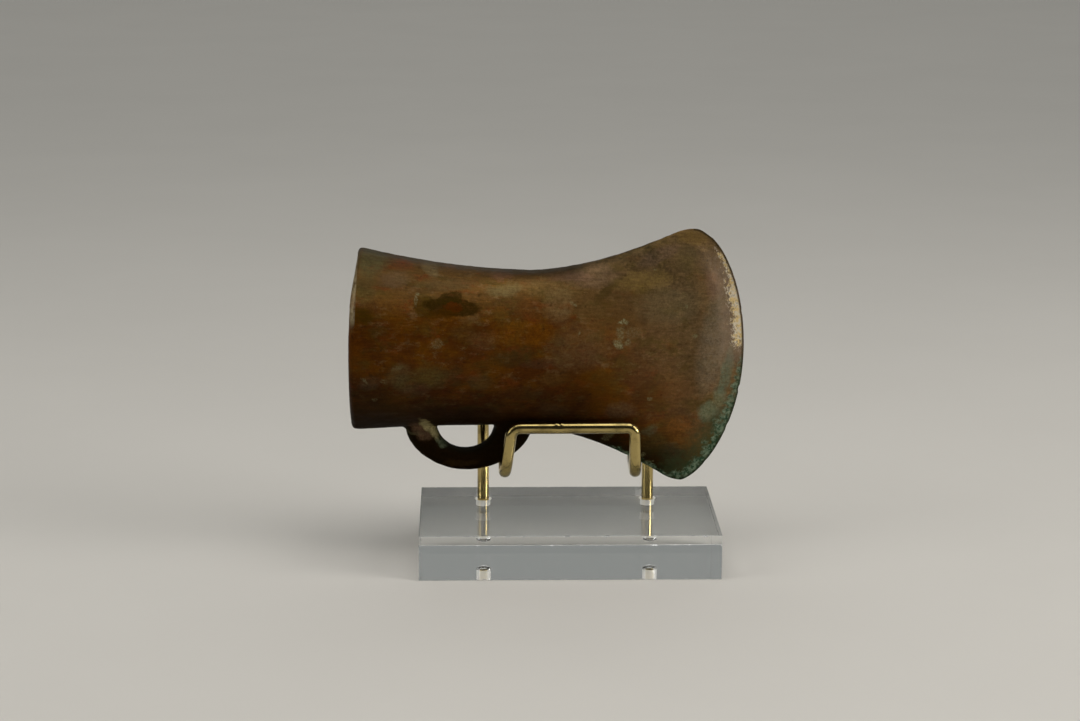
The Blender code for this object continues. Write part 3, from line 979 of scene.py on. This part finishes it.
def bronze():
    shader = Shader("patinated_bronze", Specular_IOR_Level=0.05)
    place = shader.place(AXE_MOUTH, AXE_TILT)
    at, side, height = shader.parts(place)
    loose = shader.parts(shader.unsettle(shader.unsettle(place, 4.0, 2.6, 3.0), 0.9, 1.3, 5.0))
    to_edge = shader.attribute("to_edge")
    inside = shader.attribute("inside")
    ragged = shader.math("SUBTRACT", shader.noise(place, 1.6, 5.0, 0.68, offset=3.0), 0.5)
    grain = shader.noise(place, 0.8, 4.0, 0.68, offset=5.0)

    colour = base_tones(shader, place, at, height)
    near = shader.times(shader.span(side, 2.0, -2.0), shader.span(grain, 0.32, 0.6, 0.6, 1.0))
    colour = paint(shader, loose, colour, MARKS, near, 0.55)
    colour = paint(shader, loose, colour, STAIN, near, 0.13)
    colour = scratches(shader, place, colour)
    colour = far_side_blotches(shader, place, side, colour)
    colour = under_shade(shader, colour, at, height)
    # Painted highlight and reflection on the underside, laid after the painted shade so they stay light.
    colour = paint(shader, loose, colour, LOW_TONES_AND_HIGHLIGHTS, near, 0.5)
    colour = shader.shade(colour, speckle(shader, place, grain))

    unsettled = shader.vector("ADD", place, shader.noise(place, 0.7, 3.0, 0.6))
    pits = shader.span(shader.cells(unsettled, 2.1), 0.06, 0.22, 1.0, 0.0)
    pits = shader.times(pits, shader.span(shader.noise(place, 5.0, 2.0, offset=71.0), 0.5, 0.62))
    colour = shader.blend(shader.times(pits, 0.45), colour, srgb(34, 24, 10))

    # Painted shade: a dark band painted along the narrow top and foot near the midplane, where the outline
    # turns away, standing in for the dark surroundings reflected there.
    seam_and_dark_rim = shader.span(shader.math("ABSOLUTE", side), 1.2, 4.2, 1.0, 0.0)
    seam_and_dark_rim = shader.times(seam_and_dark_rim, shader.span(to_edge, 8.0, 14.0), shader.span(grain, 0.25, 0.6, 1.0, 0.6))
    colour = shader.blend(shader.times(seam_and_dark_rim, 0.75), colour, srgb(38, 36, 22))

    colour, crust = crusts(shader, place, loose, colour, near)
    colour, green = verdigris(shader, place, colour, to_edge, height, at, ragged)
    colour, worn = worn_metal(shader, place, colour, to_edge, height, at, ragged)

    grime = shader.span(shader.noise(place, 3.0, 4.0, 0.6), 0.4, 0.62, 0.6, 1.0)
    earth = shader.blend(grime, srgb(78, 70, 46), srgb(44, 38, 24))
    colour = shader.blend(inside, colour, earth)

    dull = shader.math("MAXIMUM", shader.math("MAXIMUM", green, crust), inside)
    metal = shader.times(shader.span(worn, 0.0, 1.0, 0.42, 0.62), shader.span(dull, 0.0, 1.0, 1.0, 0.0))
    metal = shader.times(metal, shader.span(height, -24.0, -17.0, 0.12, 1.0))
    rough = shader.math("ADD", shader.span(grain, 0.3, 0.7, 0.40, 0.54), shader.times(dull, 0.35))
    rough = shader.math("SUBTRACT", rough, shader.times(worn, 0.14))
    normal = shader.bump(shader.math("SUBTRACT", grain, pits), 0.00005, 0.6)
    index = shader.span(height, -24.0, -17.0, 1.06, 1.5)
    shader.give(Base_Color=colour, Metallic=metal, Roughness=rough, IOR=index, Normal=normal)
    return shader.material


def base_tones(shader, place, at, height):
    """The slow changes of colour: orange brown below, greyer toward the cutting edge, and a lighter tan above
    that is partly painted light from above.
    """
    hue = shader.noise(place, 7.0, 6.0, 0.66, (1.7, 1.0, 1.0))
    colour = shader.blend(shader.span(hue, 0.40, 0.60), srgb(104, 62, 5), srgb(84, 45, 9))
    # Painted light: the upper part is blended toward a lighter tan, as if lit from above.
    upper = shader.span(height, 6.0, 17.0)
    colour = shader.blend(shader.times(upper, 0.7), colour, srgb(106, 80, 42))
    bladeward = shader.math("ADD", at, shader.times(height, 0.7))
    blade = shader.span(bladeward, 58.0, 98.0)
    colour = shader.blend(shader.times(blade, 0.9), colour, srgb(112, 89, 58))
    olive, red, pale, dark = srgb(84, 70, 28), srgb(118, 56, 20), srgb(136, 110, 72), srgb(52, 36, 12)
    for tone, share, size, roughness, offset, start, end in (
        (olive, 0.5, 4.6, 0.7, 31.0, 0.49, 0.64),
        (red, shader.span(blade, 0.0, 1.0, 0.5, 0.15), 3.4, 0.7, 57.0, 0.53, 0.68),
        (pale, 0.4, 2.0, 0.72, 97.0, 0.52, 0.70),
        (dark, 0.45, 1.8, 0.74, 83.0, 0.53, 0.70),
    ):
        blots = shader.noise(place, size, 6.0, roughness, (1.8, 1.0, 1.0), offset)
        colour = shader.blend(shader.times(shader.span(blots, start, end), share), colour, tone)
    mottle = shader.span(shader.noise(place, 2.6, 6.0, 0.74, (1.3, 1.0, 1.0), 131.0), 0.36, 0.64, 0.80, 1.18)
    return shader.shade(colour, shader.span(blade, 0.0, 1.0, 1.0, mottle))


def under_shade(shader, colour, at, height):
    """Painted light and shade on the axe: darker toward the bottom, nearly black on the underside and the loop
    (which also turns olive brown), lighter at mid height and darker low down near the mouth, and the top of the
    back painted darker.
    """
    body = shader.span(shader.math("ADD", at, height), 50.0, 78.0, 1.0, 0.0)
    # Painted light and shade on the mouth half: lighter above mid height, darker low down and near the mouth.
    middle = shader.span(height, 3.0, 14.0, 0.80, 1.10)
    mouthward = shader.math("MAXIMUM", shader.span(at, 2.0, 16.0, 0.80, 1.0), shader.span(height, 6.0, 12.0))
    colour = shader.shade(colour, shader.span(body, 0.0, 1.0, 1.0, shader.times(middle, mouthward)))
    lifted = shader.math("ADD", height, shader.span(at, 58.0, 90.0, 0.0, 21.0))
    # Painted shade: the colour darkens toward the bottom, to nearly black on the underside and the loop.
    under = shader.span(lifted, -24.6, 1.4, 0.09, 1.0)
    colour = shader.blend(shader.span(lifted, -17.0, -24.0), colour, srgb(92, 66, 32))
    # Painted shade: the top of the back, on the mouth half, is made darker.
    start = shader.span(at, 26.0, 38.0, 12.5, 16.0)
    top = shader.span(height, start, shader.math("ADD", start, 5.5))
    top = shader.times(top, shader.span(at, 57.0, 65.0, 1.0, 0.0))
    dimmed = shader.span(at, 30.0, 42.0, 0.60, 0.38)
    return shader.shade(colour, shader.times(under, shader.span(top, 0.0, 1.0, 1.0, dimmed)))


def speckle(shader, place, grain):
    """The fine light and dark grain of the patina."""
    fine = shader.noise(place, 0.34, 2.0, 0.6, offset=61.0)
    tone = shader.span(shader.noise(place, 0.5, 3.0, 0.6, (12.0, 1.0, 1.0), 11.0), 0.3, 0.7, 0.87, 1.11)
    coarse = shader.span(grain, 0.3, 0.7, 0.88, 1.12)
    return shader.times(tone, coarse, shader.span(fine, 0.3, 0.7, 0.90, 1.10))


def paint(shader, loose, colour, marks, near, soft):
    """Lays soft, broken patches over a colour."""
    for at, height, length, tall, turn, strength, tone in marks:
        share = shader.ellipse(loose[0], loose[2], (at, height), (length, tall), math.radians(turn), soft)
        colour = shader.blend(shader.times(share, near, strength), colour, srgb(*tone))
    return colour


def scratches(shader, place, colour):
    """Short fine scratches at two slants, dark with dirt or pale."""
    for slant, size, offset, tone, share in SCRATCHES:
        names = {"Vector": place, "Rotation": (0.0, math.radians(slant), 0.0)}
        slanted = shader.add("ShaderNodeMapping", names, vector_type="TEXTURE").outputs["Vector"]
        lines = shader.span(shader.noise(slanted, size, 1.0, 0.5, (26.0, 1.0, 1.0), offset), 0.68, 0.78)
        patch = shader.span(shader.noise(place, 9.0, 2.0, 0.5, offset=offset), 0.50, 0.64)
        colour = shader.blend(shader.times(lines, patch, share), colour, srgb(*tone))
    return colour


def far_side_blotches(shader, place, side, colour):
    """The side turned from the camera: a few blotches of its own."""
    far = shader.span(side, 1.0, 5.0)
    blots = shader.span(shader.noise(place, 5.0, 5.0, 0.7, (1.4, 1.0, 1.0), 113.0), 0.56, 0.70)
    colour = shader.blend(shader.times(blots, far, 0.5), colour, srgb(98, 100, 66))
    stains = shader.span(shader.noise(place, 7.0, 4.0, 0.6, (1.5, 1.0, 1.0), 151.0), 0.58, 0.66)
    return shader.blend(shader.times(stains, far, 0.55), colour, srgb(70, 44, 14))


def crusts(shader, place, loose, colour, near):
    """Small pale green crusts, each a soft halo round broken cores."""
    fine = shader.noise(place, 0.45, 4.0, 0.7, offset=41.0)
    halo = shader.times(shader.span(shader.noise(place, 0.8, 3.0, 0.65, offset=43.0), 0.70, 0.84), 0.14)
    for at, height, length, tall, turn, strength in CRUSTS:
        spot = shader.ellipse(loose[0], loose[2], (at, height), (length, tall), math.radians(turn), 0.6)
        halo = shader.math("MAXIMUM", halo, shader.times(spot, near, strength))
    core = shader.times(halo, shader.span(fine, 0.40, 0.60))
    colour = shader.blend(shader.times(halo, 0.45), colour, srgb(96, 90, 56))
    return shader.blend(shader.times(core, 0.8), colour, srgb(146, 142, 106)), core


def verdigris(shader, place, colour, to_edge, height, at, ragged):
    """Green corrosion along the lower part of the cutting edge and round the lower corner."""
    film = shader.times(shader.span(to_edge, 2.0, 15.0, 1.0, 0.0), shader.span(height, -4.0, -22.0))
    film = shader.math("ADD", film, shader.times(ragged, 1.2))
    colour = shader.blend(shader.times(shader.span(film, 0.35, 1.0), 0.7), colour, srgb(56, 66, 42))
    low = shader.span(height, 4.0, -4.0)
    near = shader.span(to_edge, 0.3, shader.span(height, -4.0, -22.0, 3.8, 7.5), 1.0, 0.0)
    rim = shader.span(at, 66.0, 74.0)
    rim = shader.times(rim, shader.span(shader.attribute("to_foot"), 0.3, 3.0, 1.0, 0.0))
    share = shader.math("MAXIMUM", shader.times(near, low), shader.times(rim, 0.95))
    share = shader.math("ADD", share, shader.times(ragged, 2.2))
    green = shader.span(share, 0.50, 1.05)
    blots = shader.span(shader.noise(place, 1.3, 5.0, 0.72, offset=19.0), 0.40, 0.62)
    tone = shader.blend(blots, srgb(34, 66, 48), srgb(124, 142, 116))
    return shader.blend(shader.times(green, 0.85), colour, tone), green


def worn_metal(shader, place, colour, to_edge, height, at, ragged):
    """Bare metal along the upper half of the cutting edge and on the mouth's rim."""
    reach = shader.math("ADD", to_edge, shader.times(ragged, 3.0))
    sparkle = shader.noise(place, 0.45, 3.0, 0.75, (1.0, 1.0, 1.6), 23.0)
    haze = shader.times(shader.span(reach, 1.4, 9.0, 1.0, 0.0), shader.window(height, 3.0, 22.0, 9.0), 0.55)
    haze = shader.times(haze, shader.span(sparkle, 0.35, 0.6, 0.5, 1.0))
    colour = shader.blend(haze, colour, srgb(150, 132, 116))
    edge = shader.times(shader.span(to_edge, 0.35, 0.8, 1.0, 0.0), shader.span(ragged, -0.3, 0.3, 0.5, 1.0))
    colour = shader.blend(shader.times(edge, 0.9), colour, srgb(36, 34, 20))

    full = shader.window(height, 5.0, 17.0, 6.0)
    thin = shader.window(height, 15.0, 27.0, 3.5)
    broad = shader.times(shader.span(to_edge, 0.9, 5.2, 1.0, 0.0), full)
    narrow = shader.times(shader.span(to_edge, 0.9, 2.6, 1.0, 0.0), thin, 0.75)
    share = shader.fused(sparkle, 2.4, shader.math("MAXIMUM", broad, narrow))
    worn = shader.times(shader.span(shader.math("ADD", share, ragged), 1.5, 2.15), 0.95)
    worn = shader.times(worn, shader.span(to_edge, 0.35, 0.8), shader.span(to_edge, 3.0, 6.5, 1.0, 0.0))
    worn = shader.times(worn, shader.window(height, 3.0, 27.0, 5.0))
    gilt = shader.span(shader.noise(place, 1.2, 3.0, 0.6, offset=29.0), 0.40, 0.60)
    colour = shader.blend(worn, colour, shader.blend(gilt, srgb(236, 208, 146), srgb(232, 220, 196)))
    lip = shader.times(shader.window(at, -2.0, 1.0, 0.4), shader.span(ragged, -0.25, 0.15))
    rubbed = shader.times(lip, shader.window(height, 9.0, 22.0, 4.0), 0.65)
    colour = shader.blend(rubbed, colour, srgb(168, 154, 122))
    return colour, shader.math("MAXIMUM", worn, shader.times(rubbed, 0.5))


# The studio.


def make_camera():
    data = bpy.data.cameras.new("camera")
    data.lens = CAMERA_LENS
    data.sensor_width = SENSOR_WIDTH
    data.clip_start = 0.01
    camera = bpy.data.objects.new("camera", data)
    yaw = Matrix.Rotation(-CAMERA_YAW, 4, "Z")
    pitch = Matrix.Rotation(math.pi / 2 - CAMERA_PITCH, 4, "X")
    roll = Matrix.Rotation(CAMERA_ROLL, 4, "Z")
    camera.matrix_world = Matrix.Translation(CAMERA_PLACE) @ yaw @ pitch @ roll
    bpy.context.scene.collection.objects.link(camera)
    bpy.context.scene.camera = camera


def make_floor():
    shader = Shader("pale_floor", Roughness=0.75)
    mottle = shader.noise(shader.place(), 90.0, 3.0)
    shader.give(Base_Color=shader.blend(mottle, srgb(220, 216, 209), srgb(214, 210, 203)))
    floor = object_from(
        lambda shape: bmesh.ops.create_circle(shape, cap_ends=True, segments=96, radius=FLOOR_RADIUS),
        "studio_floor",
        shader.material,
    )
    floor.location.z = -FLOOR_GAP


def make_light(name, place, target, size, power, colour):
    data = bpy.data.lights.new(name, "AREA")
    data.shape = "RECTANGLE"
    data.size, data.size_y = size
    data.energy = power
    data.color = colour
    light = bpy.data.objects.new(name, data)
    light.location = place
    light.rotation_euler = (Vector(target) - Vector(place)).to_track_quat("-Z", "Y").to_euler()
    bpy.context.scene.collection.objects.link(light)


def make_lights():
    for lamp in LAMPS:
        make_light(*lamp)


def make_world():
    """A mid-grey backdrop beyond the object, a dim room behind the camera and a lighter ceiling."""
    world = bpy.data.worlds.new("studio")
    world.use_nodes = True
    nodes, links = world.node_tree.nodes, world.node_tree.links
    parts = nodes.new("ShaderNodeSeparateXYZ")
    links.new(nodes.new("ShaderNodeTexCoord").outputs["Generated"], parts.inputs[0])
    beyond = nodes.new("ShaderNodeMapRange")
    beyond.interpolation_type = "SMOOTHSTEP"
    links.new(parts.outputs["Y"], beyond.inputs["Value"])
    for name, value in {"From Min": -0.5, "From Max": 0.4, "To Min": 0.03, "To Max": 0.24}.items():
        beyond.inputs[name].default_value = value
    background = nodes["Background"]
    background.inputs["Color"].default_value = (0.96, 1.0, 0.97, 1.0)
    links.new(beyond.outputs["Result"], background.inputs["Strength"])
    bpy.context.scene.world = world
    bpy.context.scene.view_settings.view_transform = "Standard"


def main():
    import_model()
    make_camera()
    make_floor()
    make_lights()
    make_world()
    make_block(acrylic(), drilled_acrylic())
    make_cradle(brass())
    make_axe(bronze())


main()
